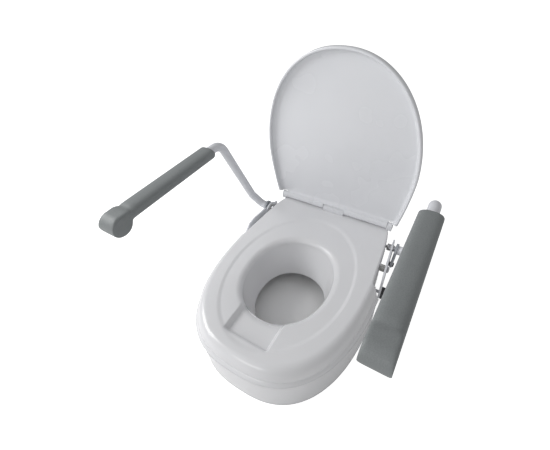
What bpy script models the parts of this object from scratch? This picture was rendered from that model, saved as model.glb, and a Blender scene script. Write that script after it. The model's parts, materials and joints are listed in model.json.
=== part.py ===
# Raised toilet seat with a hinged lid and two fold-up arms.
# Metres, +Z up, +Y towards the lid. The floor is z = 0 and x = 0 is the plane of symmetry.
import bpy
import bmesh
import math
import numpy as np
from mathutils import Matrix, Vector

# Driving dimensions
overallDepth = 0.510          # front of the seat to the back of the shell
seatHeight = 0.130            # floor to the top of the seat
seamHeight = 0.091            # joint between the seat shell and the base shell
ledgeHeight = 0.036           # underside of the ledge that sits on the bowl
hingeLineY = 0.211            # rear edge of the open deck, where the lid starts
planCentreY = 0.031           # widest place of the shells
frontHalfWidth = 0.191
frontReach = planCentreY + overallDepth / 2
rearHalfWidth = 0.172
rearTaper = 0.08              # how much the deck narrows for each metre towards the back
rearReach = overallDepth / 2 - planCentreY
wall = 0.004
shoulderInset = 0.025
shoulderDrop = 0.030
lipRadius = 0.015
openingCentreY = hingeLineY - 0.2397
openingHalfWidth = 0.1105
openingHalfDepth = 0.1317
guardCentreY = hingeLineY - 0.241
guardHalfWidth = 0.081
guardHalfDepth = 0.089
guardBottom = 0.032
recessHalfWidth = 0.049
recessDepth = 0.011
recessFrontY = hingeLineY - 0.411
fit = 0.0003                  # gap between neighbouring pieces

lidAxisY = hingeLineY + 0.012
lidAxisZ = seatHeight + 0.010
lidLean = math.radians(90.5)    # angle from closed to open
lidLength = 0.4152
lidWidest = 0.1909            # half width of the lid at its widest place
lidHalfThick = 0.009

pivotY = hingeLineY - 0.036
pivotZ = seatHeight - 0.0145
bracketRearX = 0.1700         # inner face of the bracket at its rear end
bracketLean = math.radians(5.45)
bracketThick = 0.004
bracketRearY = hingeLineY - 0.008
bracketLength = 0.156
bracketTop = seatHeight - 0.001
bracketBottom = seatHeight - 0.055

padCentreX = 0.2435
padHalfWidth = 0.021
padHalfThick = 0.0135
padAxisZ = seatHeight + 0.2217
padRearY = hingeLineY - 0.166
bulbY = hingeLineY - 0.434
bulbRadius = 0.022
tubeRadius = 0.011
tubeWall = 0.0018

clampY = hingeLineY - 0.100
clampZ = 0.019
clampPitch = 0.00125


def clearScene():
    for thing in list(bpy.data.objects):
        bpy.data.objects.remove(thing, do_unlink=True)


def makeCollection(name):
    group = bpy.data.collections.new(name)
    bpy.context.scene.collection.children.link(group)
    return group


def makeMaterial(name, colour, roughness, metallic=0.0):
    material = bpy.data.materials.new(name)
    material.use_nodes = True
    shader = material.node_tree.nodes["Principled BSDF"]
    shader.inputs["Base Color"].default_value = (*colour, 1.0)
    shader.inputs["Roughness"].default_value = roughness
    shader.inputs["Metallic"].default_value = metallic
    return material


clearScene()
parts = makeCollection("raised_toilet_seat")
cutters = makeCollection("cutters")
glossWhite = makeMaterial("gloss_white", (0.82, 0.82, 0.83), 0.22)
lidWhite = makeMaterial("lid_white", (0.80, 0.81, 0.83), 0.25)
paintedSteel = makeMaterial("painted_steel", (0.78, 0.79, 0.82), 0.35)
foamGrey = makeMaterial("foam_grey", (0.20, 0.22, 0.22), 0.60)
darkPlastic = makeMaterial("dark_plastic", (0.08, 0.085, 0.09), 0.45)
greyPlastic = makeMaterial("grey_plastic", (0.42, 0.44, 0.46), 0.40)
steel = makeMaterial("steel", (0.60, 0.60, 0.62), 0.30, 1.0)
rubber = makeMaterial("rubber", (0.05, 0.05, 0.05), 0.75)
nylon = makeMaterial("nylon", (0.72, 0.72, 0.70), 0.50)


def adopt(thing, name, material, group=parts):
    """Name an object, give it its material and move it to its collection."""
    thing.name = name
    thing.data.name = name
    thing.data.materials.clear()
    thing.data.materials.append(material)
    for old in list(thing.users_collection):
        old.objects.unlink(thing)
    group.objects.link(thing)
    return thing


def shadeSmooth(thing, degrees=35):
    thing.data.shade_smooth()
    thing.data.set_sharp_from_angle(angle=math.radians(degrees))


def meshFrom(name, points, faces, material):
    mesh = bpy.data.meshes.new(name)
    mesh.from_pydata([tuple(p) for p in points], [], faces)
    work = bmesh.new()
    work.from_mesh(mesh)
    bmesh.ops.recalc_face_normals(work, faces=work.faces)
    work.to_mesh(mesh)
    work.free()
    thing = bpy.data.objects.new(name, mesh)
    parts.objects.link(thing)
    thing.data.materials.append(material)
    shadeSmooth(thing)
    return thing


def loft(name, rings, material, closed=False):
    """Skin rings of equal point count. A closed loft joins its last ring to its first."""
    count = len(rings[0])
    points = [p for ring in rings for p in ring]
    faces = []
    bands = len(rings) if closed else len(rings) - 1
    for i in range(bands):
        low = i * count
        high = ((i + 1) % len(rings)) * count
        for j in range(count):
            k = (j + 1) % count
            faces.append((low + j, low + k, high + k, high + j))
    if not closed:
        faces.append(tuple(range(count)))
        faces.append(tuple(range((len(rings) - 1) * count, len(rings) * count)))
    return meshFrom(name, points, faces, material)


def turned(name, profile, material, location, axis="X", segments=20):
    """A turned piece: profile of (radius, height) from top to bottom, spun round its own Z."""
    mesh = bpy.data.meshes.new(name)
    edges = [(i, i + 1) for i in range(len(profile) - 1)]
    mesh.from_pydata([(r, 0, h) for r, h in profile], edges, [])
    thing = bpy.data.objects.new(name, mesh)
    parts.objects.link(thing)
    thing.data.materials.append(material)
    spin = thing.modifiers.new("spin", "SCREW")
    spin.steps = segments
    spin.render_steps = segments
    spin.use_merge_vertices = True
    spin.merge_threshold = 0.00005
    spin.use_smooth_shade = True
    thing.location = location
    if axis == "X":
        thing.rotation_euler = (0, math.radians(90), 0)
    if axis == "-X":
        thing.rotation_euler = (0, math.radians(-90), 0)
    if axis == "-Z":
        thing.rotation_euler = (math.radians(180), 0, 0)
    return thing


def block(name, low, high, material, bevel=0.0, segments=2):
    size = [b - a for a, b in zip(low, high)]
    centre = [(a + b) / 2 for a, b in zip(low, high)]
    work = bmesh.new()
    bmesh.ops.create_cube(work, size=1.0, matrix=Matrix.Diagonal((*size, 1.0)))
    mesh = bpy.data.meshes.new(name)
    work.to_mesh(mesh)
    work.free()
    thing = bpy.data.objects.new(name, mesh)
    parts.objects.link(thing)
    thing.data.materials.append(material)
    thing.location = centre
    if bevel:
        edge = thing.modifiers.new("edge", "BEVEL")
        edge.width = bevel
        edge.segments = segments
    return thing


def slab(name, outlines, thickness, material, location, turn=0.0):
    """A flat outline in the YZ plane, with holes after the first outline, thick along X."""
    curve = bpy.data.curves.new(name, "CURVE")
    curve.dimensions = "2D"
    curve.fill_mode = "BOTH"
    curve.extrude = thickness / 2
    for outline in outlines:
        spline = curve.splines.new("POLY")
        spline.points.add(len(outline) - 1)
        for point, (y, z) in zip(spline.points, outline):
            point.co = (y, z, 0, 1)
        spline.use_cyclic_u = True
    guide = bpy.data.objects.new(name, curve)
    parts.objects.link(guide)
    guide.location = location
    guide.rotation_euler = (math.radians(90), 0, math.radians(90) + turn)
    return toMesh(guide, name, material)


def toMesh(guide, name, material):
    """Turn a curve object into a mesh object at the same place, with its caps welded."""
    bpy.context.view_layer.update()
    ready = guide.evaluated_get(bpy.context.evaluated_depsgraph_get())
    mesh = bpy.data.meshes.new_from_object(ready)
    work = bmesh.new()
    work.from_mesh(mesh)
    bmesh.ops.remove_doubles(work, verts=work.verts, dist=0.00001)
    bmesh.ops.recalc_face_normals(work, faces=work.faces)
    work.to_mesh(mesh)
    work.free()
    thing = bpy.data.objects.new(name, mesh)
    thing.matrix_world = guide.matrix_world.copy()
    bpy.data.objects.remove(guide, do_unlink=True)
    parts.objects.link(thing)
    mesh.materials.clear()
    mesh.materials.append(material)
    thing.name = name
    return thing


def cutter(name, radius, length, centre, axis="X", sides=16):
    spin = {"X": (0, math.radians(90), 0), "Z": (0, 0, 0)}[axis]
    bpy.ops.mesh.primitive_cylinder_add(
        vertices=sides, radius=radius, depth=length, location=centre, rotation=spin)
    return hideCutter(bpy.context.object, name)


def boxCutter(name, low, high):
    size = [b - a for a, b in zip(low, high)]
    centre = [(a + b) / 2 for a, b in zip(low, high)]
    bpy.ops.mesh.primitive_cube_add(size=1.0, location=centre)
    thing = bpy.context.object
    thing.data.transform(Matrix.Diagonal((*size, 1.0)))
    return hideCutter(thing, name)


def hideCutter(thing, name):
    thing.name = name
    for old in list(thing.users_collection):
        old.objects.unlink(thing)
    cutters.objects.link(thing)
    thing.hide_render = True
    thing.display_type = "WIRE"
    return thing


def cut(thing, tool, operation="DIFFERENCE"):
    step = thing.modifiers.new("cut_" + tool.name, "BOOLEAN")
    step.operation = operation
    step.object = tool
    step.solver = "EXACT"


def circle(y, z, radius, count=20):
    turns = [2 * math.pi * i / count for i in range(count)]
    return [(y + radius * math.cos(t), z + radius * math.sin(t)) for t in turns]


def smoothStep(value, start, end):
    t = min(1.0, max(0.0, (value - start) / (end - start)))
    return t * t * (3 - 2 * t)


def superRadius(angle, halfWidth, reach, power):
    """Distance from the centre of a superellipse to its edge, in a direction."""
    across = abs(math.cos(angle)) / halfWidth
    along = abs(math.sin(angle)) / reach
    return (across ** power + along ** power) ** (-1 / power)


def rearRadius(angle, inset=0.0):
    """The deck behind the widest place: nearly straight sides that close in towards the back."""
    radius = rearHalfWidth
    for _ in range(6):
        narrowed = rearHalfWidth - rearTaper * radius * math.sin(angle) - inset
        radius = superRadius(angle, narrowed, rearReach - inset, 7)
    return radius


def frontShare(angle):
    """1 on the rounded front, 0 on the narrower deck between the brackets."""
    side = math.degrees(math.asin(math.sin(angle)))
    return 1 - smoothStep(side, 0.6, 5.0)


def shellRadius(angle, frontInset, rearInset, power=2.6):
    front = superRadius(angle, frontHalfWidth - frontInset, frontReach - frontInset, power)
    share = frontShare(angle)
    if share == 1:
        return front
    return share * front + (1 - share) * rearRadius(angle, rearInset)


def ovalPoint(angle, centreY, halfWidth, halfDepth, power=2.15):
    """Point of an oval on the line from the plan's centre at this angle."""
    radius = halfDepth
    shift = planCentreY - centreY
    for _ in range(12):
        x = radius * math.cos(angle)
        y = radius * math.sin(angle) + shift
        size = (abs(x / halfWidth) ** power + abs(y / halfDepth) ** power) ** (1 / power)
        radius = radius / size
    return radius


def ringAngles():
    """Directions round the plan: closer together at the recess and where the sides step in."""
    steps = [0.0, 0.6, 2.0, 3.5, 5.0, 9.0]
    steps += list(np.linspace(15, 85, 14))
    rear = steps + [90.0] + [180 - s for s in reversed(steps)]
    front = list(np.linspace(186, 252, 12))
    front += list(np.linspace(256, 284, 14))
    front += list(np.linspace(288, 354, 12))
    return [math.radians(a) for a in rear + front]


angles = ringAngles()


def recessDrop(x, y):
    """Depth of the hygiene recess at the front of the seat."""
    across = 1 - smoothStep(abs(x), recessHalfWidth - 0.004, recessHalfWidth + 0.004)
    along = smoothStep(y, recessFrontY - 0.005, recessFrontY + 0.005)
    front = 1 - smoothStep(y, openingCentreY - 0.06, openingCentreY - 0.03)
    return recessDepth * across * along * front


def underDrop(x, y):
    """The underside follows the recess a little way outside it, so the wall stays thick enough."""
    across = 1 - smoothStep(abs(x), recessHalfWidth + 0.008, recessHalfWidth + 0.020)
    along = smoothStep(y, recessFrontY - 0.012, recessFrontY - 0.002)
    front = 1 - smoothStep(y, openingCentreY - 0.045, openingCentreY - 0.010)
    return recessDepth * across * along * front


def underRing(radii, height):
    ring = []
    for angle, radius in zip(angles, radii):
        x = radius * math.cos(angle)
        y = planCentreY + radius * math.sin(angle)
        ring.append((x, y, height - underDrop(x, y)))
    return ring


def planRing(radii, heights, dropped=False):
    ring = []
    for angle, radius, z in zip(angles, radii, heights):
        x = radius * math.cos(angle)
        y = planCentreY + radius * math.sin(angle)
        drop = recessDrop(x, y) if dropped else 0.0
        ring.append((x, y, z - drop))
    return ring


def seatShell():
    count = len(angles)
    share = [frontShare(a) for a in angles]
    shoulder = [s * shoulderInset + (1 - s) * 0.004 for s in share]
    drop = [s * shoulderDrop + (1 - s) * 0.004 for s in share]
    foot = [shellRadius(a, 0.0, 0.0) for a in angles]
    top = [shellRadius(a, shoulderInset, 0.004, 2.5) for a in angles]
    lip = [ovalPoint(a, openingCentreY, openingHalfWidth, openingHalfDepth) for a in angles]
    throat = [ovalPoint(a, openingCentreY, openingHalfWidth - lipRadius,
                        openingHalfDepth - lipRadius) for a in angles]
    guard = [ovalPoint(a, guardCentreY, guardHalfWidth, guardHalfDepth) for a in angles]
    low = seamHeight + fit
    rings = []
    rings.append(planRing(foot, [low] * count))
    rings.append(planRing([r - 0.006 * s for r, s in zip(foot, share)],
                          [seatHeight - d for d in drop]))
    for step in (0.3, 0.6, 0.85):
        turn = step * math.pi / 2
        radii = [r - 0.006 * s - (h - 0.006 * s) * (1 - math.cos(turn))
                 for r, s, h in zip(foot, share, shoulder)]
        heights = [seatHeight - d * (1 - math.sin(turn)) for d in drop]
        rings.append(planRing(radii, heights))
    rings.append(planRing(top, [seatHeight] * count))
    for mix in (0.12, 0.35, 0.7):
        rings.append(planRing([t + (l - t) * mix for t, l in zip(top, lip)],
                              [seatHeight - 0.0015 * math.sin(mix * 2.4)] * count, True))
    for step in (0.0, 0.33, 0.66, 1.0):
        turn = step * math.pi / 2
        radii = [l + (t - l) * math.sin(turn) for l, t in zip(lip, throat)]
        rings.append(planRing(radii, [seatHeight - 0.001 - lipRadius * (1 - math.cos(turn))] * count,
                              step < 0.5))
    middle = [(t + g) / 2 for t, g in zip(throat, guard)]
    rings.append(planRing(middle, [(seatHeight - lipRadius + guardBottom) / 2] * count))
    rings.append(planRing(guard, [guardBottom] * count))
    rings.append(planRing([g + wall for g in guard], [guardBottom] * count))
    rings.append(planRing([m + wall for m in middle],
                          [(seatHeight - lipRadius + guardBottom) / 2] * count))
    underside = seatHeight - wall - 0.003
    turnIn = seatHeight - lipRadius - wall - 0.006
    rings.append(planRing([t + wall + 0.001 for t in throat], [turnIn] * count))
    rings.append(underRing([l + 0.003 for l in lip], underside))
    rings.append(underRing([l + (t - l) * 0.68 for l, t in zip(lip, top)], underside))
    rings.append(underRing([t - 0.009 * s - 0.003 for t, s in zip(top, share)], underside))
    rings.append(planRing([r - wall - 0.008 * s for r, s in zip(foot, share)],
                          [underside - 0.020] * count))
    rings.append(planRing([r - wall for r in foot], [low] * count))
    shell = loft("seat_shell", rings, glossWhite, closed=True)
    return shell


def baseShell():
    """The lower band of the seat: an open ring of wall that stands on the floor or the bowl."""
    count = len(angles)
    top = [shellRadius(a, 0.0025, 0.0025) for a in angles]
    foot = [shellRadius(a, 0.0055, 0.0045) for a in angles]
    rings = []
    rings.append(planRing(foot, [0.0] * count))
    rings.append(planRing(top, [seamHeight] * count))
    rings.append(planRing([t - wall for t in top], [seamHeight] * count))
    rings.append(planRing([f - wall for f in foot], [0.0] * count))
    return loft("base_shell", rings, glossWhite, closed=True)


def ledgePlate():
    """Flat ring inside the base shell that carries the seat on the bowl's rim."""
    count = len(angles)
    outer = [shellRadius(a, 0.0055, 0.0045) - wall - fit for a in angles]
    inner = [ovalPoint(a, guardCentreY, guardHalfWidth + 0.020, guardHalfDepth + 0.016)
             for a in angles]
    rings = []
    rings.append(planRing(outer, [ledgeHeight] * count))
    rings.append(planRing(outer, [ledgeHeight + wall] * count))
    rings.append(planRing(inner, [ledgeHeight + wall] * count))
    rings.append(planRing(inner, [ledgeHeight] * count))
    return loft("ledge_plate", rings, glossWhite, closed=True)


def bracketX(y, face=0.0):
    """X of the bracket's inner face at a given y; face steps outwards through its thickness."""
    return bracketRearX + (bracketRearY - y) * math.tan(bracketLean) + face


def bracketOutline():
    """Side view of a bracket, along its own length backwards from its rear end."""
    pivotAt = (pivotY - bracketRearY) / math.cos(bracketLean)
    ear = 0.0135
    front = -bracketLength
    outline = [(0.0, bracketBottom), (0.0, bracketTop - 0.010)]
    for degrees in range(20, 161, 20):
        t = math.radians(degrees)
        outline.append((pivotAt + ear * 1.4 * math.cos(t), pivotZ + ear * math.sin(t)))
    outline += [(pivotAt - ear * 1.9, bracketTop), (front + 0.052, bracketTop)]
    outline += [(front + 0.030, bracketTop - 0.006), (front + 0.010, bracketTop - 0.026)]
    outline += [(front, bracketBottom + 0.008), (front + 0.004, bracketBottom)]
    return outline


def alongBracket(y):
    return (y - bracketRearY) / math.cos(bracketLean)


boltY = {"rear": hingeLineY - 0.020, "front": hingeLineY - 0.093}
boltZ = seatHeight - 0.030
stopY = pivotY - 0.023
stopZ = pivotZ - 0.030


def sideBracket(side, name):
    holes = [circle(alongBracket(pivotY), pivotZ, 0.0093)]
    holes += [circle(alongBracket(y), boltZ, 0.0045, 12) for y in boltY.values()]
    holes.append(circle(alongBracket(stopY), stopZ, 0.0042, 12))
    middle = bracketRearX + bracketThick / 2 / math.cos(bracketLean)
    return slab("side_bracket_" + name, [bracketOutline()] + holes, bracketThick, paintedSteel,
                (side * middle, bracketRearY, 0), side * bracketLean)


def pivotPieces(side, name):
    plateIn = bracketX(pivotY)
    camIn = plateIn + 0.0105
    axis = "X" if side > 0 else "-X"
    turned("pivot_bush_" + name,
           [(0.0062, 0.0), (0.0090, 0.0), (0.0090, -0.0052), (0.0062, -0.0052), (0.0062, 0.0)],
           nylon, (side * (plateIn + 0.0050), pivotY, pivotZ), axis)
    turned("arm_axle_" + name, [(0, 0), (0.006, 0), (0.006, -0.0148), (0, -0.0148)],
           steel, (side * (camIn - fit), pivotY, pivotZ), axis)
    turned("axle_nut_" + name,
           [(0, 0), (0.0055, 0), (0.0085, -0.0004), (0.0085, -0.0024), (0, -0.0028)],
           steel, (side * (camIn - fit - 0.0148 - fit), pivotY, pivotZ), axis, 12)
    reach = 0.040
    cam = [(0.0155 * math.cos(math.radians(d)), 0.0155 * math.sin(math.radians(d)))
           for d in range(-80, 161, 20)]
    cam += [(-reach, -0.0115), (-reach, -0.0235)]
    cam += [(-0.0100, -0.0210)]
    slab("stop_cam_" + name, [cam], 0.005, greyPlastic,
         (side * (camIn + 0.0025), pivotY, pivotZ))
    plateAtStop = bracketX(stopY)
    turned("stop_pin_" + name,
           [(0, 0), (0.0045, 0), (0.006, -0.0015), (0.006, -0.0105), (0.0035, -0.0105),
            (0.0035, -0.0175), (0, -0.0175)],
           darkPlastic, (side * (plateAtStop + bracketThick + 0.0112), stopY, stopZ), axis, 16)


def bracketBolts(side, name):
    axis = "X" if side > 0 else "-X"
    for place, y in boltY.items():
        head = bracketX(y) + bracketThick + 0.0049
        turned("bracket_bolt_" + name + "_" + place,
               [(0, 0), (0.004, 0), (0.0075, -0.0015), (0.0075, -0.0038), (0.004, -0.0038),
                (0.004, -0.052), (0, -0.052)], steel, (side * head, y, boltZ), axis, 12)
        deck = rearHalfWidth - rearTaper * (y - 0.0085 - planCentreY) + fit
        turned("bracket_spacer_" + name + "_" + place,
               [(0.0045, 0), (0.0085, 0), (0.0085, -(bracketX(y) - 0.0012 - deck)),
                (0.0045, -(bracketX(y) - 0.0012 - deck)), (0.0045, 0)],
               nylon, (side * (bracketX(y) - 0.0010), y, boltZ), axis, 16)


def roundedPath(corners, radii, steps=6):
    """Corner points joined by straight runs, with an arc of the given radius at each corner."""
    points = [Vector(corners[0])]
    for i in range(1, len(corners) - 1):
        here = Vector(corners[i])
        back = (Vector(corners[i - 1]) - here).normalized()
        ahead = (Vector(corners[i + 1]) - here).normalized()
        half = back.angle(ahead) / 2
        reach = radii[i - 1] / math.tan(half)
        centre = here + (back + ahead).normalized() * radii[i - 1] / math.sin(half)
        start = here + back * reach - centre
        end = here + ahead * reach - centre
        for step in range(steps + 1):
            spoke = start.normalized().slerp(end.normalized(), step / steps)
            points.append(centre + spoke * radii[i - 1])
    points.append(Vector(corners[-1]))
    return points


def armCorners(side):
    """Centreline of an arm tube: out from the pivot, up beside the seat, then forward."""
    startX = bracketX(pivotY) + 0.0105 + 0.005 + fit
    return [(side * startX, pivotY, pivotZ),
            (side * 0.2030, pivotY, pivotZ),
            (side * 0.2270, hingeLineY - 0.050, seatHeight + 0.022),
            (side * padCentreX, hingeLineY - 0.1265, padAxisZ),
            (side * padCentreX, hingeLineY - 0.414, padAxisZ)]


def armTube(side, name):
    curve = bpy.data.curves.new("arm_tube_" + name, "CURVE")
    curve.dimensions = "3D"
    curve.bevel_depth = tubeRadius
    curve.bevel_resolution = 3
    points = roundedPath(armCorners(side), [0.024, 0.030, 0.036])
    spline = curve.splines.new("POLY")
    spline.points.add(len(points) - 1)
    for knot, p in zip(spline.points, points):
        knot.co = (*p, 1)
    guide = bpy.data.objects.new("arm_tube_" + name, curve)
    parts.objects.link(guide)
    tube = toMesh(guide, "arm_tube_" + name, paintedSteel)
    shadeSmooth(tube)
    skin = tube.modifiers.new("tube_wall", "SOLIDIFY")
    skin.thickness = tubeWall
    skin.offset = -1
    return tube


def padSection(side, y, top, bottom, halfWidth, power, count=20):
    ring = []
    middle = (top + bottom) / 2
    for i in range(count):
        t = 2 * math.pi * i / count
        c, s = math.cos(t), math.sin(t)
        x = math.copysign(abs(c) ** (2 / power), c) * halfWidth
        z = math.copysign(abs(s) ** (2 / power), s) * (top - bottom) / 2
        ring.append((side * padCentreX + x, y, middle + z))
    return ring


def armPad(side, name):
    """A soft pad moulded round the tube, ending in a thick rounded bulb at the front."""
    top = padAxisZ + padHalfThick
    bottom = padAxisZ - padHalfThick
    bulbZ = top - bulbRadius
    def boreRing(y):
        return [(side * padCentreX + (tubeRadius + fit) * math.cos(2 * math.pi * i / 20), y,
                 padAxisZ + (tubeRadius + fit) * math.sin(2 * math.pi * i / 20))
                for i in range(20)]
    rings = [boreRing(hingeLineY - 0.4145), boreRing(padRearY)]
    rings.append(padSection(side, padRearY, top - 0.0012, bottom + 0.0012, padHalfWidth - 0.003, 2.4))
    rings.append(padSection(side, padRearY - 0.004, top, bottom, padHalfWidth, 2.5))
    rings.append(padSection(side, bulbY + bulbRadius, top, bottom, padHalfWidth, 2.5))
    for degrees in (155, 130, 105, 80, 50, 25):
        t = math.radians(degrees)
        y = bulbY - bulbRadius * math.cos(t)
        rise = bulbRadius * math.sin(t)
        upper = top if degrees > 90 else bulbZ + rise
        rings.append(padSection(side, y, upper, bulbZ - rise, padHalfWidth, 5.0))
    return loft("arm_pad_" + name, rings, foamGrey)


def padScrews(side, name, pad):
    underside = padAxisZ - padHalfThick
    for place, y in (("rear", hingeLineY - 0.215), ("front", hingeLineY - 0.375)):
        hole = cutter("pad_hole_" + name + "_" + place, 0.0028, 0.008,
                      (side * padCentreX, y, underside), "Z", 12)
        cut(pad, hole)
        turned("pad_screw_" + name + "_" + place,
               [(0, 0), (0.0025, 0), (0.0025, -0.0028), (0.0048, -0.0028), (0.0036, -0.0050),
                (0, -0.0050)],
               steel, (side * padCentreX, y, underside + 0.0021), "Z", 12)


def lidHalfWidth(s):
    """Half width of the lid at a distance from its hinge axis."""
    widest = 0.155
    if s < widest:
        return lidWidest - 0.024 * ((widest - s) / widest) ** 1.5
    u = (s - widest) / (lidLength - widest)
    return lidWidest * max(0.0, 1 - u ** 2.15) ** (1 / 2.15)


def lidOutline(inset):
    """Outline of the lid lying closed: (x, forward distance), from the hinge corner round."""
    far = lidLength - inset
    start = -0.0045 + inset
    reach = [start, 0.03, 0.07, 0.115, 0.155, 0.20, 0.24, 0.275, 0.305, 0.332, 0.355, 0.373]
    points = []
    for s in reach:
        points.append((max(lidHalfWidth(max(s, 0.0)) - inset, 0.0), s))
    for u in (0.80, 0.62, 0.42, 0.21):
        s = 0.155 + (far - 0.155) * (1 - u ** 2.15 * 0.36) ** (1 / 2.15)
        points.append(((lidWidest - inset) * (1 - ((s - 0.155) / (far - 0.155)) ** 2.15) ** (1 / 2.15), s))
    mirrored = [(-x, s) for x, s in reversed(points)]
    return points + [(0.0, far)] + mirrored


def lidPoint(x, s, v):
    """From lying-closed coordinates (forward s, up v) to the open lid."""
    angle = -lidLean
    y = -s * math.cos(angle) - v * math.sin(angle)
    z = -s * math.sin(angle) + v * math.cos(angle)
    return (x, lidAxisY + y, lidAxisZ + z)


def lidPanel():
    under, upper = -lidHalfThick, lidHalfThick
    layers = [(0.060, upper, 0.0), (0.020, upper - 0.0015, 0.0), (0.006, upper - 0.004, 0.0),
              (0.0, upper - 0.010, 0.0), (0.0005, under + 0.001, 0.0), (0.002, under, 0.0),
              (0.006, under, 0.010), (0.010, under + 0.010, 0.010), (0.060, under + 0.0125, 0.0)]
    rings = []
    for inset, v, bar in layers:
        ring = []
        for x, s in lidOutline(inset):
            nearHinge = smoothStep(0.03 - s, 0.0, 0.03)
            ring.append(lidPoint(x, s + bar * nearHinge, v))
        rings.append(ring)
    lid = loft("lid_panel", rings, lidWhite)
    bore = cutter("hinge_bore", 0.0031, 0.40, (0, lidAxisY, lidAxisZ), "X", 16)
    for side, name in ((1, "right"), (-1, "left")):
        corner = boxCutter("corner_notch_" + name,
                           (min(side * 0.1450, side * 0.1800), lidAxisY - 0.020, lidAxisZ - 0.020),
                           (max(side * 0.1450, side * 0.1800), lidAxisY + 0.020, lidAxisZ + 0.0125))
        cut(lid, corner)
    centre = boxCutter("centre_notch", (-0.030, lidAxisY - 0.020, lidAxisZ - 0.020),
                       (0.030, lidAxisY + 0.020, lidAxisZ + 0.0095))
    cut(lid, centre)
    cut(lid, bore)
    return lid


def hingePieces():
    deck = seatHeight + fit
    spans = {"left": (-0.1575, -0.1455), "centre": (-0.0290, 0.0290), "right": (0.1455, 0.1575)}
    for name, (low, high) in spans.items():
        top = 0.0070 if name == "centre" else 0.0095
        outline = [(-0.0085, -0.0100 + 0.0005), (0.0085, -0.0100 + 0.0005)]
        outline += [(0.0085 * math.cos(math.radians(d)), max(0.0, top * math.sin(math.radians(d))))
                    for d in range(0, 181, 30)]
        slab("hinge_post_" + name, [outline, circle(0, 0, 0.0033, 16)], high - low, lidWhite,
             ((low + high) / 2, lidAxisY, lidAxisZ))
    pins = {"left": (-0.1570, -0.1250), "centre": (-0.0480, 0.0480), "right": (0.1250, 0.1570)}
    for name, (low, high) in pins.items():
        turned("hinge_pin_" + name, [(0, 0), (0.003, 0), (0.003, -(high - low)), (0, -(high - low))],
               steel, (high, lidAxisY, lidAxisZ), "X", 16)
    for side, name in ((1, "right"), (-1, "left")):
        y = hingeLineY
        outline = [(y + 0.0262, deck), (y + 0.0370, deck), (y + 0.0370, seatHeight + 0.030),
                   (y + 0.0230, seatHeight + 0.034), (y + 0.0228, seatHeight + 0.026)]
        slab("lid_stop_" + name, [outline], 0.020, rubber, (side * 0.085, 0, 0))


def crossBar():
    bar = block("cross_bar", (-0.146, hingeLineY - 0.105, seatHeight - 0.042),
                (0.146, hingeLineY - 0.008, seatHeight - 0.018), greyPlastic, 0.002, 1)
    return bar


def rimPads():
    for endName, y in (("front", hingeLineY - 0.330), ("rear", hingeLineY - 0.150)):
        for side, name in ((1, "right"), (-1, "left")):
            x = side * 0.132
            block("rim_pad_" + endName + "_" + name, (x - 0.014, y - 0.022, ledgeHeight - 0.006),
                  (x + 0.014, y + 0.022, ledgeHeight - fit), rubber, 0.0015)


def clamp(side, name):
    """Side screw that presses a jaw on the bowl: knob, spindle, jaw and the insert it turns in."""
    axis = "X" if side > 0 else "-X"
    outer = 0.1632
    slab("clamp_jaw_" + name,
         [[(-0.016, -0.013), (0.016, -0.013), (0.016, 0.011), (0.012, 0.013), (-0.012, 0.013),
           (-0.016, 0.011)]], 0.008, rubber, (side * 0.1465, clampY, clampZ))
    turned("clamp_insert_" + name,
           [(0.0042, 0.0), (0.0085, 0.0), (0.0085, -0.0020), (0.0062, -0.0020), (0.0062, -0.0085),
            (0.0042, -0.0085), (0.0042, 0.0)],
           nylon, (side * (outer + 0.0015), clampY, clampZ), axis, 16)
    turned("clamp_spindle_" + name, [(0, 0), (0.004, 0), (0.004, -0.0258), (0, -0.0258)],
           steel, (side * (0.1508 + 0.0258), clampY, clampZ), axis, 16)
    lobes = []
    for i in range(24):
        t = 2 * math.pi * i / 24
        radius = 0.0150 + 0.0012 * math.cos(6 * t)
        lobes.append((radius * math.cos(t), radius * math.sin(t)))
    slab("clamp_knob_" + name, [lobes], 0.011, darkPlastic,
         (side * (0.1508 + 0.0258 + fit + 0.0055), clampY, clampZ))


def wallHoles(seat, base, bar):
    for side, name in ((1, "right"), (-1, "left")):
        for place, y in boltY.items():
            hole = cutter("bolt_hole_" + name + "_" + place, 0.0045, 0.110,
                          (side * 0.1750, y, boltZ), "X", 12)
            cut(seat, hole)
            cut(bar, hole)
        cut(base, cutter("insert_hole_" + name, 0.0065, 0.04, (side * 0.160, clampY, clampZ),
                         "X", 16))


seat = seatShell()
base = baseShell()
ledgePlate()
bar = crossBar()
wallHoles(seat, base, bar)
rimPads()
lidPanel()
hingePieces()
for side, name in ((1, "right"), (-1, "left")):
    sideBracket(side, name)
    pivotPieces(side, name)
    bracketBolts(side, name)
    armTube(side, name)
    pad = armPad(side, name)
    padScrews(side, name, pad)
    clamp(side, name)
bpy.context.view_layer.update()
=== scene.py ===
import math
import json
import bpy
import bmesh
import numpy as np
from mathutils import Matrix, Vector


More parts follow.
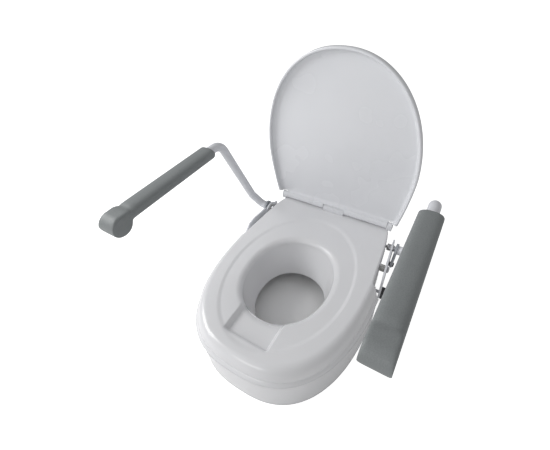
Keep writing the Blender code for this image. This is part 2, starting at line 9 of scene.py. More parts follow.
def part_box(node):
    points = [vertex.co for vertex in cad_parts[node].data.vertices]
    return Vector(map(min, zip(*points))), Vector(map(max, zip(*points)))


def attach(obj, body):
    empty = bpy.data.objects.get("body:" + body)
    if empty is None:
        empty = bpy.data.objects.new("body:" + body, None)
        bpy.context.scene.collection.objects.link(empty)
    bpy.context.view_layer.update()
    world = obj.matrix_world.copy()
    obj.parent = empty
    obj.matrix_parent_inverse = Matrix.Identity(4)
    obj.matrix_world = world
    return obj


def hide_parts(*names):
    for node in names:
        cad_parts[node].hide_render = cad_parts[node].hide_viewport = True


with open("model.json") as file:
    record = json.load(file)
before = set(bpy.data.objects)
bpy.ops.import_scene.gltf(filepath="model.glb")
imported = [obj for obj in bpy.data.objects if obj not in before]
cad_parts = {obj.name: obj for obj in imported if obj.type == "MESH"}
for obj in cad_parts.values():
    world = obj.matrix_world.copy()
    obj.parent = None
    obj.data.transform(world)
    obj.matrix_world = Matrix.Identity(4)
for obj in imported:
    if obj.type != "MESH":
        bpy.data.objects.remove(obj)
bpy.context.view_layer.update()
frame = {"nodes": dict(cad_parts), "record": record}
print("frame loaded:", len(frame["nodes"]), "nodes")

# Places that several pieces share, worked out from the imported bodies
plan = {"stopGap": 0.0003, "hingeLineBack": 0.012, "centreBack": 0.180}
joints = {joint["name"]: joint for joint in frame["record"]["behaviour"]["joints"]}
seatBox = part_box("seat_shell")
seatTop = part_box("lid_stop_right")[0][2] - plan["stopGap"]
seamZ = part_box("base_shell")[1][2]
lidAxis = Vector(joints["lid_hinge"]["pos_m"])
hingeLineY = lidAxis[1] - plan["hingeLineBack"]
planCentreY = hingeLineY - plan["centreBack"]
frontReach = planCentreY - seatBox[0][1]
rearReach = seatBox[1][1] - planCentreY


# A node's output that Python's operators work on: each operator adds one Math node
class Flow:
    def __init__(self, tree, socket):
        self.tree = tree
        self.socket = socket

    def maths(self, operation, first, second):
        node = self.tree.nodes.new("ShaderNodeMath")
        node.operation = operation
        for slot, value in zip(node.inputs, (first, second)):
            if isinstance(value, Flow):
                self.tree.links.new(value.socket, slot)
            else:
                slot.default_value = value
        return Flow(self.tree, node.outputs[0])

    def __add__(self, other):
        return self.maths("ADD", self, other)

    def __radd__(self, other):
        return self.maths("ADD", other, self)

    def __mul__(self, other):
        return self.maths("MULTIPLY", self, other)

    def __rmul__(self, other):
        return self.maths("MULTIPLY", other, self)

    def __gt__(self, other):
        return self.maths("GREATER_THAN", self, other)

    def __lt__(self, other):
        return self.maths("LESS_THAN", self, other)


# A material in the making; every node but a Math node comes from its node method
class Finish:
    def __init__(self, name, **constants):
        self.material = bpy.data.materials.new(name)
        self.material.use_nodes = True
        self.tree = self.material.node_tree
        self.shader = self.tree.nodes["Principled BSDF"]
        for key, value in constants.items():
            self.shader.inputs[key.replace("_", " ")].default_value = value

    def node(self, kind, settings, inputs, output=0):
        made = self.tree.nodes.new(kind)
        for key, value in settings.items():
            setattr(made, key, value)
        for key, value in inputs.items():
            if isinstance(value, Flow):
                self.tree.links.new(value.socket, made.inputs[key])
            else:
                made.inputs[key].default_value = value
        return Flow(self.tree, made.outputs[output])

    def place(self):
        return self.node("ShaderNodeTexCoord", {}, {}, "Object")

    def noise(self, scale, detail, rough=0.5):
        inputs = {"Vector": self.place(), "Scale": scale, "Detail": detail, "Roughness": rough}
        return self.node("ShaderNodeTexNoise", {}, inputs)

    def mix(self, share, first, second):
        # On a colour Mix node 0 is the factor, 6 and 7 are the colours, and output 2 is the result
        return self.node("ShaderNodeMix", {"data_type": "RGBA"}, {0: share, 6: first, 7: second}, 2)

    def feed(self, name, flow):
        self.tree.links.new(flow.socket, self.shader.inputs[name])

    def bump(self, height, strength, distance):
        inputs = {"Height": height, "Strength": strength, "Distance": distance}
        self.feed("Normal", self.node("ShaderNodeBump", {}, inputs))


glossLook = {"coat": 0.25, "coatRoughness": 0.06, "cloudScale": 9.0, "cloudRoughness": 0.06,
             "peelScale": 260.0, "peelStrength": 0.04, "peelDepth": 0.0004}


# Moulded gloss plastic: colour = mix of light and shade by a slow noise, roughness = base + 0.06 x
# that noise, and a very shallow orange-peel bump from a fine noise
def glossPlastic(name, light, shade, roughness):
    finish = Finish(name, Specular_IOR_Level=0.5, Coat_Weight=glossLook["coat"],
                    Coat_Roughness=glossLook["coatRoughness"])
    cloud = finish.noise(glossLook["cloudScale"], 2.0)
    finish.feed("Base Color", finish.mix(cloud, light, shade))
    finish.feed("Roughness", cloud * glossLook["cloudRoughness"] + roughness)
    peel = finish.noise(glossLook["peelScale"], 1.0)
    finish.bump(peel, glossLook["peelStrength"], glossLook["peelDepth"])
    return finish.material


foamLook = {"light": (0.275, 0.292, 0.296, 1), "dark": (0.190, 0.205, 0.208, 1), "roughness": 0.40,
            "cellScale": 620.0, "cellSmoothness": 0.6, "gritScale": 1500.0, "cloudScale": 30.0,
            "cellShare": 0.75, "gritShare": 0.35, "grainTint": 0.7, "cloudTint": 0.25,
            "grainRoughness": 0.12, "grainStrength": 0.35, "grainDepth": 0.0007}


# Foam skin: grain = 0.75 x rounded cells + 0.35 x fine noise. The colour goes from light to dark
# by the grain and a slow cloud, and the grain also drives the roughness and the bump
def foamSkin(name):
    look = foamLook
    finish = Finish(name, Specular_IOR_Level=0.45)
    cellInputs = {"Vector": finish.place(), "Scale": look["cellScale"],
                  "Smoothness": look["cellSmoothness"]}
    cells = finish.node("ShaderNodeTexVoronoi", {"feature": "SMOOTH_F1"}, cellInputs)
    grit = finish.noise(look["gritScale"], 2.0)
    grain = cells * look["cellShare"] + grit * look["gritShare"]
    cloud = finish.noise(look["cloudScale"], 2.0)
    tint = grain * look["grainTint"] + cloud * look["cloudTint"]
    finish.feed("Base Color", finish.mix(tint, look["light"], look["dark"]))
    finish.feed("Roughness", grain * look["grainRoughness"] + look["roughness"])
    finish.bump(grain, look["grainStrength"], look["grainDepth"])
    return finish.material


coatLook = {"light": (0.76, 0.77, 0.80, 1), "dark": (0.70, 0.71, 0.75, 1), "roughness": 0.27,
            "cloudScale": 40.0, "cloudRoughness": 0.08,
            "pebbleScale": 900.0, "pebbleStrength": 0.10, "pebbleDepth": 0.0003}


# Powder coat: near-white clouded by a noise, roughness = 0.27 + 0.08 x cloud, a fine pebbled bump
def powderCoat(name):
    look = coatLook
    finish = Finish(name, Specular_IOR_Level=0.5)
    cloud = finish.noise(look["cloudScale"], 2.0)
    finish.feed("Base Color", finish.mix(cloud, look["light"], look["dark"]))
    finish.feed("Roughness", cloud * look["cloudRoughness"] + look["roughness"])
    pebbles = finish.noise(look["pebbleScale"], 2.0)
    finish.bump(pebbles, look["pebbleStrength"], look["pebbleDepth"])
    return finish.material


# Textured hard plastic or rubber: one colour clouded by a noise, roughness = base + 0.1 x cloud,
# and an even fine bump
def finePlastic(name, light, dark, roughness, scale):
    finish = Finish(name, Specular_IOR_Level=0.45)
    cloud = finish.noise(60.0, 3.0)
    finish.feed("Base Color", finish.mix(cloud, light, dark))
    finish.feed("Roughness", cloud * 0.1 + roughness)
    finish.bump(finish.noise(scale, 2.0), 0.15, 0.0003)
    return finish.material


zincLook = {"light": (0.62, 0.62, 0.64, 1), "dark": (0.50, 0.51, 0.54, 1), "roughness": 0.25,
            "streakScale": 220.0, "streakRoughness": 0.2, "streakStrength": 0.05,
            "streakDepth": 0.0002}


# Zinc plated steel: metal, with one noise behind its colour, roughness and bump
def zincSteel(name):
    look = zincLook
    finish = Finish(name, Metallic=1.0)
    streak = finish.noise(look["streakScale"], 4.0, 0.6)
    finish.feed("Base Color", finish.mix(streak, look["light"], look["dark"]))
    finish.feed("Roughness", streak * look["streakRoughness"] + look["roughness"])
    finish.bump(streak, look["streakStrength"], look["streakDepth"])
    return finish.material


finishes = {
    "gloss_white": glossPlastic("moulded gloss white", (0.80, 0.80, 0.815, 1),
                                (0.755, 0.76, 0.78, 1), 0.20),
    "lid_white": glossPlastic("moulded lid white", (0.765, 0.775, 0.80, 1),
                              (0.73, 0.74, 0.77, 1), 0.24),
    "painted_steel": powderCoat("white powder coat"),
    "foam_grey": foamSkin("grey foam skin"),
    "dark_plastic": finePlastic("dark plastic", (0.07, 0.072, 0.08, 1), (0.045, 0.047, 0.05, 1),
                                0.38, 1100.0),
    "grey_plastic": finePlastic("grey plastic", (0.40, 0.42, 0.45, 1), (0.34, 0.36, 0.39, 1),
                                0.36, 1100.0),
    "steel": zincSteel("zinc plated steel"),
    "rubber": finePlastic("black rubber", (0.045, 0.045, 0.047, 1), (0.03, 0.03, 0.032, 1),
                          0.62, 700.0),
    "nylon": finePlastic("natural nylon", (0.74, 0.73, 0.69, 1), (0.68, 0.67, 0.63, 1),
                         0.42, 900.0),
}
for entry in frame["record"]["subparts"]:
    for slot in frame["nodes"][entry["node"]].material_slots:
        slot.material = finishes[entry["material_slot"]]
print("finishes made:", len(finishes))

smoothAngle = math.radians(40)


def linkPiece(name, mesh):
    piece = bpy.data.objects.new(name, mesh)
    bpy.context.scene.collection.objects.link(piece)
    return piece


def smoothMesh(mesh):
    mesh.shade_smooth()
    mesh.set_sharp_from_angle(angle=smoothAngle)


# A skin over a grid of points (rows, columns, 3) whose columns close on themselves. The rows close
# on themselves too, or their two ends are capped
def gridPiece(name, grid, closedRows):
    rows, columns, _ = grid.shape
    index = np.arange(rows * columns).reshape(rows, columns)
    here = index if closedRows else index[:-1]
    there = np.roll(index, -1, 0) if closedRows else index[1:]
    quads = np.stack([here, np.roll(here, -1, 1), np.roll(there, -1, 1), there], -1)
    faces = quads.reshape(-1, 4).tolist()
    if not closedRows:
        faces += [index[0].tolist(), index[-1].tolist()]
    mesh = bpy.data.meshes.new(name)
    mesh.from_pydata(grid.reshape(-1, 3).tolist(), [], faces)
    work = bmesh.new()
    work.from_mesh(mesh)
    bmesh.ops.recalc_face_normals(work, faces=work.faces)
    work.to_mesh(mesh)
    work.free()
    piece = linkPiece(name, mesh)
    smoothMesh(mesh)
    return piece


def workPiece(name, work, place):
    mesh = bpy.data.meshes.new(name)
    work.to_mesh(mesh)
    work.free()
    mesh.transform(place)
    return linkPiece(name, mesh)


# Cutting tool: a round bar from one point to another
def rod(radius, low, high, sides=48):
    run = Vector(high) - Vector(low)
    work = bmesh.new()
    bmesh.ops.create_cone(work, cap_ends=True, segments=sides, radius1=radius, radius2=radius,
                          depth=run.length)
    turn = Vector((0, 0, 1)).rotation_difference(run).to_matrix().to_4x4()
    return workPiece("tool", work, Matrix.Translation((Vector(high) + Vector(low)) / 2) @ turn)


# Cutting tool: a block between two corners
def brick(low, high):
    work = bmesh.new()
    bmesh.ops.create_cube(work, size=1.0)
    size = [b - a for a, b in zip(low, high)]
    middle = [(a + b) / 2 for a, b in zip(low, high)]
    return workPiece("tool", work, Matrix.Translation(middle) @ Matrix.Diagonal((*size, 1)))


# Cuts the tools out of a piece, then removes them
def cutAway(piece, tools):
    for tool in tools:
        step = piece.modifiers.new("cut", "BOOLEAN")
        step.object = tool
        step.solver = "EXACT"
    bpy.context.view_layer.update()
    ready = piece.evaluated_get(bpy.context.evaluated_depsgraph_get())
    mesh = bpy.data.meshes.new_from_object(ready)
    piece.modifiers.clear()
    piece.data = mesh
    for tool in tools:
        bpy.data.objects.remove(tool, do_unlink=True)
    smoothMesh(mesh)


def finishPiece(piece, body, slotName, node):
    piece.data.materials.clear()
    piece.data.materials.append(finishes[slotName])
    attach(piece, body)
    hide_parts(node)


def middleOf(node):
    low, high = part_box(node)
    return [(a + b) / 2 for a, b in zip(low, high)]


def smoothStep(value, start, end):
    t = np.clip((value - start) / (end - start), 0.0, 1.0)
    return t * t * (3 - 2 * t)


shell = {
    "frontHalfWidth": 0.191, "rearHalfWidth": 0.172, "rearTaper": 0.08, "wall": 0.004,
    "frontPower": 2.6, "topPower": 2.5, "rearPower": 7, "ovalPower": 2.15, "sideStep": (0.6, 5.0),
    "shoulderInset": 0.025, "shoulderDrop": 0.030, "rearRound": 0.004, "draft": 0.006,
    "lipRadius": 0.015, "openingY": hingeLineY - 0.2397,
    "openingHalfWidth": 0.1105, "openingHalfDepth": 0.1317,
    "guardY": hingeLineY - 0.241, "guardHalfWidth": 0.081, "guardHalfDepth": 0.089,
    "guardEase": 1.15, "guardBackDrop": 0.008,
    "recessHalfWidth": 0.049, "recessDepth": 0.011, "recessFrontY": hingeLineY - 0.411,
    "recessSideSoft": 0.005, "recessFrontSoft": 0.006, "recessRear": (0.06, 0.03),
    "dishDepth": 0.0022, "dishHalfWidth": 0.140, "dishHalfDepth": 0.196, "dishForward": 0.006,
    "dishEdge": (0.955, 1.02),
    "seamGap": 0.0003, "footEdge": ((0.0012, 0.0), (0.0003, 0.0006), (0.0, 0.0015)),
    "underGap": 0.003, "underStep": 0.014, "underInset": 0.008, "underLip": 0.002,
    "boltHole": 0.0045, "boltHoleFrom": 0.13, "boltHoleTo": 0.20,
    "around": 560, "mergeAngle": 0.0008,
    "closeSpans": ((-0.01, 0.12, 40), (math.pi - 0.12, math.pi + 0.01, 40),
                   (math.pi * 1.5 - 0.28, math.pi * 1.5 + 0.28, 160)),
}


# Superellipse radius: (|cos/halfWidth|^p + |sin/reach|^p)^(-1/p)
def superRadius(angle, halfWidth, reach, power):
    across = np.abs(np.cos(angle)) / halfWidth
    along = np.abs(np.sin(angle)) / reach
    return (across ** power + along ** power) ** (-1 / power)


# Rear deck: a squarish superellipse whose half width shrinks by the taper towards the back
def rearRadius(angle, inset):
    radius = np.full_like(angle, shell["rearHalfWidth"])
    for _ in range(8):
        narrowed = shell["rearHalfWidth"] - shell["rearTaper"] * radius * np.sin(angle) - inset
        radius = superRadius(angle, narrowed, rearReach - inset, shell["rearPower"])
    return radius


# 1 round the front half of the plan, 0 round the rear, with a short smooth step at each side
def frontShare(angle):
    side = np.degrees(np.arcsin(np.sin(angle)))
    return 1 - smoothStep(side, *shell["sideStep"])


# Plan outline: front superellipse x front share + rear deck x the rest
def shellRadius(angle, frontInset, rearInset, power=shell["frontPower"]):
    halfWidth = shell["frontHalfWidth"] - frontInset
    front = superRadius(angle, halfWidth, frontReach - frontInset, power)
    share = frontShare(angle)
    return share * front + (1 - share) * rearRadius(angle, rearInset)


# Oval about another centre, as a radius from the plan's centre: rescaled until it lies on the oval
def ovalRadius(angle, centreY, halfWidth, halfDepth):
    power = shell["ovalPower"]
    radius = np.full_like(angle, halfDepth)
    shift = planCentreY - centreY
    for _ in range(16):
        x = radius * np.cos(angle)
        y = radius * np.sin(angle) + shift
        size = (np.abs(x / halfWidth) ** power + np.abs(y / halfDepth) ** power) ** (1 / power)
        radius = radius / size
    return radius


# Directions round the plan: even, and closer where the sides step in and at the recess
def shellAngles():
    even = np.linspace(0, 2 * np.pi, shell["around"], endpoint=False)
    close = [np.linspace(*span) for span in shell["closeSpans"]]
    both = np.unique(np.round(np.concatenate([even, np.concatenate(close) % (2 * np.pi)]), 4))
    return both[np.concatenate([[True], np.diff(both) > shell["mergeAngle"]])]


# Hygiene recess: its depth x a soft-edged band across x soft ends in front and behind
def recessDrop(x, y):
    half = shell["recessHalfWidth"]
    soft = shell["recessSideSoft"]
    across = 1 - smoothStep(np.abs(x), half - soft, half + soft)
    soft = shell["recessFrontSoft"]
    along = smoothStep(y, shell["recessFrontY"] - soft, shell["recessFrontY"] + soft)
    start, end = shell["recessRear"]
    behind = 1 - smoothStep(y, shell["openingY"] - start, shell["openingY"] - end)
    return shell["recessDepth"] * across * along * behind


# Seat dish: the sitting ring lies a little lower than the deck, inside an oval with a soft edge
def dishDrop(x, y):
    along = (y - shell["openingY"] - shell["dishForward"]) / shell["dishHalfDepth"]
    size = np.sqrt((x / shell["dishHalfWidth"]) ** 2 + along ** 2)
    return shell["dishDepth"] * (1 - smoothStep(size, *shell["dishEdge"]))


# One ring of a shell: the radius turned into x and y, at a height less its share of both drops
def planRing(angle, radius, height, dropped=0.0):
    x = radius * np.cos(angle)
    y = planCentreY + radius * np.sin(angle)
    z = height - dropped * (recessDrop(x, y) + dishDrop(x, y))
    return np.stack([x, y, z], -1)


# Seat shell, ring by ring: up the side, over a quarter round, in across the deck, down the lip and
# the splash guard, then back up the guard's outside and along the deck's underside
def makeSeat():
    angle = shellAngles()
    share = frontShare(angle)
    drop = share * shell["shoulderDrop"] + (1 - share) * shell["rearRound"]
    foot = shellRadius(angle, 0.0, 0.0)
    top = shellRadius(angle, shell["shoulderInset"], shell["rearRound"], shell["topPower"])
    halfWidth = shell["openingHalfWidth"]
    halfDepth = shell["openingHalfDepth"]
    lipRadius = shell["lipRadius"]
    lip = ovalRadius(angle, shell["openingY"], halfWidth, halfDepth)
    throat = ovalRadius(angle, shell["openingY"], halfWidth - lipRadius, halfDepth - lipRadius)
    guard = ovalRadius(angle, shell["guardY"], shell["guardHalfWidth"], shell["guardHalfDepth"])
    guardBottom = seatBox[0][2]
    draft = shell["draft"] * share
    wall = shell["wall"]
    low = seamZ + shell["seamGap"]
    rings = [planRing(angle, foot - inset, low + rise) for inset, rise in shell["footEdge"]]
    for mix in np.linspace(0.1, 1.0, 9):
        rings.append(planRing(angle, foot - draft * mix ** 1.5, low + (seatTop - drop - low) * mix))
    for turn in np.linspace(0, np.pi / 2, 17)[1:]:
        radius = foot - draft - (foot - draft - top) * (1 - np.cos(turn))
        height = seatTop - drop * (1 - np.sin(turn))
        rings.append(planRing(angle, radius, height, float(turn > 1.5)))
    for mix in np.linspace(0, 1, 40)[1:]:
        rings.append(planRing(angle, top + (lip - top) * mix, seatTop, 1.0))
    for turn in np.linspace(0, np.pi / 2, 15)[1:]:
        radius = lip + (throat - lip) * np.sin(turn)
        height = seatTop - lipRadius * (1 - np.cos(turn))
        rings.append(planRing(angle, radius, height, float(np.cos(turn)) ** 0.5))
    throatZ = seatTop - lipRadius
    for mix in np.linspace(0, 1, 14)[1:]:
        radius = throat + (guard - throat) * mix ** shell["guardEase"]
        rings.append(planRing(angle, radius, throatZ + (guardBottom - throatZ) * mix))
    rings.append(planRing(angle, guard + wall * 0.5, guardBottom))
    guardRise = throatZ - shell["guardBackDrop"] - guardBottom
    for mix in np.linspace(0, 1, 6):
        radius = guard + wall + (throat - guard) * mix
        rings.append(planRing(angle, radius, guardBottom + guardRise * mix))
    under = seatTop - wall - shell["recessDepth"] - shell["underGap"]
    inner = foot - wall
    rings.append(planRing(angle, lip + shell["underLip"], under))
    rings.append(planRing(angle, top - shell["underInset"], under))
    rings.append(planRing(angle, inner - shell["underInset"] * share, under - shell["underStep"]))
    rings.append(planRing(angle, inner, low))
    return gridPiece("seat", np.stack(rings), True)


skirt = {"topInset": 0.0025, "footFrontInset": 0.0055, "footRearInset": 0.0045,
         "footEdge": ((0.0022, 0.0), (0.0007, 0.0007), (0.0, 0.0022)),
         "footRise": 0.0022, "topFall": 0.0015, "topBevel": 0.0010,
         "screwHole": 0.0065, "screwHoleFrom": 0.14, "screwHoleTo": 0.185}


# Base shell: the plan outline carried from foot to seam, leaning out as it rises, and back down
# one wall's thickness further in
def makeBase():
    angle = shellAngles()
    top = shellRadius(angle, skirt["topInset"], skirt["topInset"])
    foot = shellRadius(angle, skirt["footFrontInset"], skirt["footRearInset"])
    rise = skirt["footRise"]
    run = seamZ - rise - skirt["topFall"]
    rings = [planRing(angle, foot - inset, height) for inset, height in skirt["footEdge"]]
    for mix in np.linspace(0.1, 1, 10):
        rings.append(planRing(angle, foot + (top - foot) * mix, rise + run * mix))
    rings.append(planRing(angle, top - skirt["topBevel"], seamZ))
    rings.append(planRing(angle, top - shell["wall"], seamZ))
    rings.append(planRing(angle, foot - shell["wall"], 0.0))
    return gridPiece("base", np.stack(rings), True)


# A round hole through the side wall at a node's own place
def sideHole(node, radius, start, end):
    x, y, z = middleOf(node)
    side = math.copysign(1, x)
    return rod(radius, (side * start, y, z), (side * end, y, z))


seat = makeSeat()
boltNodes = [name for name in frame["nodes"] if name.startswith("bracket_bolt")]
cutAway(seat, [sideHole(node, shell["boltHole"], shell["boltHoleFrom"], shell["boltHoleTo"])
               for node in boltNodes])
finishPiece(seat, "frame", "gloss_white", "seat_shell")
base = makeBase()
cutAway(base, [sideHole("clamp_insert_" + name, skirt["screwHole"], skirt["screwHoleFrom"],
                        skirt["screwHoleTo"]) for name in ("left", "right")])
finishPiece(base, "frame", "gloss_white", "base_shell")
print("shells made")

lidShape = {
    "halfWidth": 0.1909, "narrowing": 0.024, "widest": 0.155, "length": 0.4152, "power": 2.15,
    "halfThick": 0.009, "heel": -0.0045, "lean": math.radians(90.5), "cornerPower": 40,
    "crownInsets": (0.150, 0.11, 0.075, 0.05, 0.03, 0.02, 0.012, 0.006, 0.003),
    "crownRun": 0.03, "crownFall": 0.0040,
    "edgeInset": 0.003, "edgeFall": 0.0032, "edgeRound": 0.004,
    "rimRadius": 0.0032, "rimRise": 0.004, "wellRun": 0.010, "wellDepth": 0.0095,
    "panelInsets": (0.03, 0.05, 0.075, 0.11, 0.150), "panelDepth": 0.0128,
    "panelCrown": 0.0006, "panelCrownRun": 0.1, "hingeBar": 0.010, "hingeBarFade": 0.05,
    "around": 420,
}


# Lid outline about its widest place: a superellipse above it; below it the sides close in slowly
# and meet a straight hinge edge with small round corners
def lidRadius(angle):
    shape = lidShape
    reach = shape["length"] - shape["widest"]
    up = superRadius(angle, shape["halfWidth"], reach, shape["power"])
    side = np.full_like(angle, shape["halfWidth"])
    for _ in range(14):
        dip = np.clip(-side * np.sin(angle) / shape["widest"], 0, 1.1)
        half = shape["halfWidth"] - shape["narrowing"] * dip ** 1.5
        side = half / np.maximum(np.abs(np.cos(angle)), 0.05)
    edge = (shape["widest"] - shape["heel"]) / np.maximum(-np.sin(angle), 0.02)
    power = shape["cornerPower"]
    down = (side ** -power + edge ** -power) ** (-1 / power)
    return np.where(np.sin(angle) > 0, up, down)


# One ring of the lid: the outline less an inset, at a depth through the lid, leant back about the
# hinge pin; the bar widens the rim along the hinge edge
def lidRing(angle, inset, depth, bar=0.0):
    radius = lidRadius(angle) - inset
    x = radius * np.cos(angle)
    along = lidShape["widest"] + radius * np.sin(angle)
    along = along + bar * (1 - smoothStep(along, 0.0, lidShape["hingeBarFade"]))
    tilt = -lidShape["lean"]
    y = lidAxis[1] - along * math.cos(tilt) - depth * math.sin(tilt)
    z = lidAxis[2] - along * math.sin(tilt) + depth * math.cos(tilt)
    return np.stack([x, y, z], -1)


# Lid: from the middle of its crowned top out to the edge, round the rolled rim, up the well inside
# it and in across the shallow panel underneath
def makeLid():
    shape = lidShape
    angle = np.linspace(0, 2 * np.pi, shape["around"], endpoint=False)
    half = shape["halfThick"]
    rings = []
    for inset in shape["crownInsets"]:
        nearEdge = max(0.0, 1 - inset / shape["crownRun"])
        rings.append(lidRing(angle, inset, half - shape["crownFall"] * nearEdge ** 2))
    for turn in np.linspace(0, np.pi / 2, 7):
        depth = half - shape["edgeFall"] - shape["edgeRound"] * (1 - math.cos(turn))
        rings.append(lidRing(angle, shape["edgeInset"] * (1 - math.sin(turn)), depth))
    rings.append(lidRing(angle, 0.0, -half + shape["rimRise"]))
    rim = shape["rimRadius"]
    bar = shape["hingeBar"]
    for turn in np.linspace(0, np.pi, 11):
        depth = -half + rim - rim * math.sin(turn)
        rings.append(lidRing(angle, rim * (1 - math.cos(turn)), depth, bar * (turn / np.pi) ** 2))
    for mix in np.linspace(0, 1, 8)[1:]:
        depth = -half + rim + shape["wellDepth"] * math.sin(mix * np.pi / 2)
        rings.append(lidRing(angle, 2 * rim + shape["wellRun"] * mix ** 2, depth, bar))
    for inset in shape["panelInsets"]:
        crown = shape["panelCrown"] * min(1.0, inset / shape["panelCrownRun"])
        rings.append(lidRing(angle, inset, -half + shape["panelDepth"] + crown))
    return gridPiece("lid", np.stack(rings), False)


# Notches for the hinge posts, as inner x, outer x and height above the pin, and the pin's hole
hingeCut = {"reach": 0.020, "pinHole": 0.0031, "pinHoleHalf": 0.2,
            "notches": ((-0.1800, -0.1450, 0.0125), (0.1450, 0.1800, 0.0125),
                        (-0.030, 0.030, 0.0095))}
lid = makeLid()
pinHalf = hingeCut["pinHoleHalf"]
reach = hingeCut["reach"]
lidTools = [rod(hingeCut["pinHole"], (-pinHalf, lidAxis[1], lidAxis[2]),
                (pinHalf, lidAxis[1], lidAxis[2]))]
for low, high, rise in hingeCut["notches"]:
    lidTools.append(brick((low, lidAxis[1] - reach, lidAxis[2] - reach),
                          (high, lidAxis[1] + reach, lidAxis[2] + rise)))
cutAway(lid, lidTools)
finishPiece(lid, "lid", "lid_white", "lid_panel")
print("lid made")


# Straight runs joined by arcs of the given radii
def roundedPath(corners, radii, steps=18):
    points = [np.array(corners[0])]
    for here, before, after, radius in zip(corners[1:-1], corners[:-2], corners[2:], radii):
        here = Vector(here)
        back = (Vector(before) - here).normalized()
        ahead = (Vector(after) - here).normalized()
        half = back.angle(ahead) / 2
        run = radius / math.tan(half)
        centre = here + (back + ahead).normalized() * radius / math.sin(half)
        start = (here + back * run - centre).normalized()
        end = (here + ahead * run - centre).normalized()
        for step in range(steps + 1):
            points.append(np.array(centre + start.slerp(end, step / steps) * radius))
    points.append(np.array(corners[-1]))
    return np.array(points)


# Tube: a circle carried along the path; its frame turns as little as it can from point to point
def sweep(name, path, radius, around=48):
    tangent = np.gradient(path, axis=0)
    tangent /= np.linalg.norm(tangent, axis=1)[:, None]
    across = np.zeros_like(path)
    across[0] = np.cross(tangent[0], (0.0, 0.0, 1.0))
    for i in range(1, len(path)):
        side = across[i - 1] - tangent[i] * np.dot(across[i - 1], tangent[i])
        across[i] = side / np.linalg.norm(side)
    other = np.cross(tangent, across)
    turn = np.linspace(0, 2 * np.pi, around, endpoint=False)
    ring = (np.cos(turn)[None, :, None] * across[:, None, :]
            + np.sin(turn)[None, :, None] * other[:, None, :])
    return gridPiece(name, path[:, None, :] + radius * ring, False)


armLineX = 0.2435
rail = {"radius": 0.011, "bends": (0.024, 0.030, 0.036), "camGap": 0.0003, "rootX": 0.2030,
        "elbowX": 0.2270, "elbowBack": 0.050, "elbowRise": 0.022, "topBack": 0.1265}


# Arm tube: out of its stop cam along the axle, up to an elbow, up to the pad's height and forward
def makeTube(side, name):
    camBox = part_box("stop_cam_" + name)
    startX = max(abs(camBox[0][0]), abs(camBox[1][0])) + rail["camGap"]
    pivot = joints["arm_fold_" + name]["pos_m"]
    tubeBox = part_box("arm_tube_" + name)
    topZ = tubeBox[1][2] - rail["radius"]
    corners = [(side * startX, pivot[1], pivot[2]),
               (side * rail["rootX"], pivot[1], pivot[2]),
               (side * rail["elbowX"], hingeLineY - rail["elbowBack"],
                seatTop + rail["elbowRise"]),
               (side * armLineX, hingeLineY - rail["topBack"], topZ),
               (side * armLineX, tubeBox[0][1], topZ)]
    tube = sweep("arm_tube_rail_" + name, roundedPath(corners, rail["bends"]), rail["radius"])
    finishPiece(tube, "arm_" + name, "painted_steel", "arm_tube_" + name)


cushion = {"halfWidth": 0.021, "halfThick": 0.0135, "bulbRadius": 0.022, "rearRound": 0.006,
           "neckRun": 0.045, "creaseDepth": 0.0016, "creaseWidth": 0.007, "neckBlend": 0.0025,
           "endNarrowing": 0.004, "power": 2.6, "bulbPower": 5.0, "around": 72}


# Stations along the pad, closer where the rear end rounds off and round the bulb
def padStations(bulbY, rearY):
    radius = cushion["bulbRadius"]
    rear = 1 - np.cos(np.linspace(0, np.pi / 2, 12))
    neckY = bulbY + cushion["neckRun"]
    return np.concatenate([
        rearY - cushion["rearRound"] * rear,
        np.linspace(rearY - 0.0075, neckY, 40),
        np.linspace(neckY - 0.001, bulbY + radius * 0.985, 30),
        bulbY + radius * np.cos(np.linspace(0.19, np.pi * 0.985, 48)),
    ])


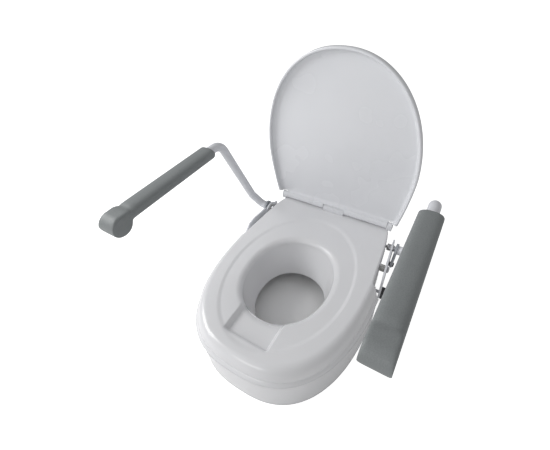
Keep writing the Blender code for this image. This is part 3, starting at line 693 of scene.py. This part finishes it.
# Pad: superellipse sections along Y, between an upper and a lower line. The rear end is rounded
# off. In front both lines become a full circle seen from the side, eased in under the neck by
# -k log(exp(-circle/k) + exp(-underside/k)), and the sections square up into flat cheeks
def makePad(side, name):
    low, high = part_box("arm_pad_" + name)
    top = high[2]
    radius = cushion["bulbRadius"]
    rearY = high[1]
    bulbY = low[1] + radius
    bulbZ = top - radius
    y = padStations(bulbY, rearY)
    span = np.clip((y - bulbY) / radius, -1, 1)
    circle = radius * np.sqrt(np.maximum(1 - span ** 2, 0.0004))
    rearRound = cushion["rearRound"]
    intoRear = ((y - (rearY - rearRound)) / rearRound).clip(0, 1)
    ease = np.sqrt(np.clip(1 - intoRear ** 2, 0.02, 1))
    crease = np.exp(-((y - bulbY - radius * 1.15) / cushion["creaseWidth"]) ** 2)
    upper = np.where(y > bulbY, top - cushion["creaseDepth"] * crease, bulbZ + circle)
    neck = bulbZ - circle
    under = np.full_like(y, top - 2 * cushion["halfThick"])
    blend = cushion["neckBlend"]
    eased = -blend * np.log(np.exp(-neck / blend) + np.exp(-under / blend))
    lower = np.where(y < bulbY + radius, np.minimum(eased, under), under)
    lower = np.where(y < bulbY, neck, lower)
    half = cushion["halfWidth"] - cushion["endNarrowing"] * (1 - ease)
    middle = (upper + lower) / 2
    tall = (upper - lower) / 2 * ease
    bulb = 1 - smoothStep(y, bulbY + radius * 0.6, bulbY + radius * 1.25)
    power = (cushion["power"] + cushion["bulbPower"] * bulb)[:, None]
    turn = np.linspace(0, 2 * np.pi, cushion["around"], endpoint=False)[None, :]
    cosine, sine = np.cos(turn), np.sin(turn)
    x = np.sign(cosine) * np.abs(cosine) ** (2 / power) * half[:, None]
    z = np.sign(sine) * np.abs(sine) ** (2 / power) * tall[:, None]
    grid = np.stack([side * armLineX + x, y[:, None] + 0 * x, middle[:, None] + z], -1)
    pad = gridPiece("arm_cushion_" + name, grid, False)
    finishPiece(pad, "arm_" + name, "foam_grey", "arm_pad_" + name)


for name, side in (("left", -1), ("right", 1)):
    makeTube(side, name)
    makePad(side, name)
print("arms made")

view = {"place": (0.2641, -0.4474, 0.7439), "azimuth": 34.63, "elevation": 38.81, "roll": -4.85,
        "lens": 22.27, "shift": (0.0033, -0.0413)}


def addCamera():
    data = bpy.data.cameras.new("camera")
    data.sensor_width = 36.0
    data.lens = view["lens"]
    data.shift_x, data.shift_y = view["shift"]
    data.clip_start = 0.01
    camera = linkPiece("camera", data)
    aim = (Matrix.Rotation(math.radians(view["azimuth"]), 4, "Z")
           @ Matrix.Rotation(math.radians(90 - view["elevation"]), 4, "X")
           @ Matrix.Rotation(math.radians(view["roll"]), 4, "Z"))
    camera.matrix_world = Matrix.Translation(view["place"]) @ aim
    bpy.context.scene.camera = camera


def addLight(name, place, target, size, power):
    data = bpy.data.lights.new(name, "AREA")
    data.shape = "RECTANGLE"
    data.size, data.size_y = size
    data.energy = power
    light = linkPiece(name, data)
    light.location = place
    light.rotation_euler = (Vector(target) - Vector(place)).to_track_quat("-Z", "Y").to_euler()


stage = {"floorSize": 30.0, "floorColour": (0.95, 0.95, 0.95, 1), "glow": 0.75,
         "maskHalfWidth": 0.165, "maskHalfDepth": 0.235, "worldStrength": 0.40}


# Pale floor: it glows towards the camera alone, outside an oval under the seat, so that the floor
# seen through the seat's opening stays in shade
def addStage():
    work = bmesh.new()
    bmesh.ops.create_grid(work, x_segments=1, y_segments=1, size=stage["floorSize"])
    floor = workPiece("floor", work, Matrix())
    finish = Finish("pale floor", Roughness=0.9, Specular_IOR_Level=0.1,
                    Base_Color=stage["floorColour"], Emission_Color=(1, 1, 1, 1))
    seen = finish.node("ShaderNodeLightPath", {}, {}, "Is Camera Ray")
    stretch = (1 / stage["maskHalfWidth"], 1 / stage["maskHalfDepth"], 0.0)
    spot = finish.node("ShaderNodeVectorMath", {"operation": "MULTIPLY"},
                       {0: finish.place(), 1: stretch})
    size = finish.node("ShaderNodeVectorMath", {"operation": "LENGTH"}, {0: spot}, "Value")
    finish.feed("Emission Strength", seen * (size > 1.0) * stage["glow"])
    floor.data.materials.append(finish.material)
    world = bpy.data.worlds.new("studio")
    world.use_nodes = True
    bpy.context.scene.world = world
    world.node_tree.nodes["Background"].inputs["Color"].default_value = (1.0, 1.0, 1.0, 1)
    world.node_tree.nodes["Background"].inputs["Strength"].default_value = stage["worldStrength"]
    bpy.context.scene.view_settings.view_transform = "Standard"


addCamera()
addStage()
addLight("key", (-1.35, -0.55, 1.25), (0, 0, 0.15), (1.1, 0.9), 19)
addLight("front", (-0.25, -1.9, 0.9), (0, 0, 0.2), (0.9, 0.5), 5)
print("stage made")
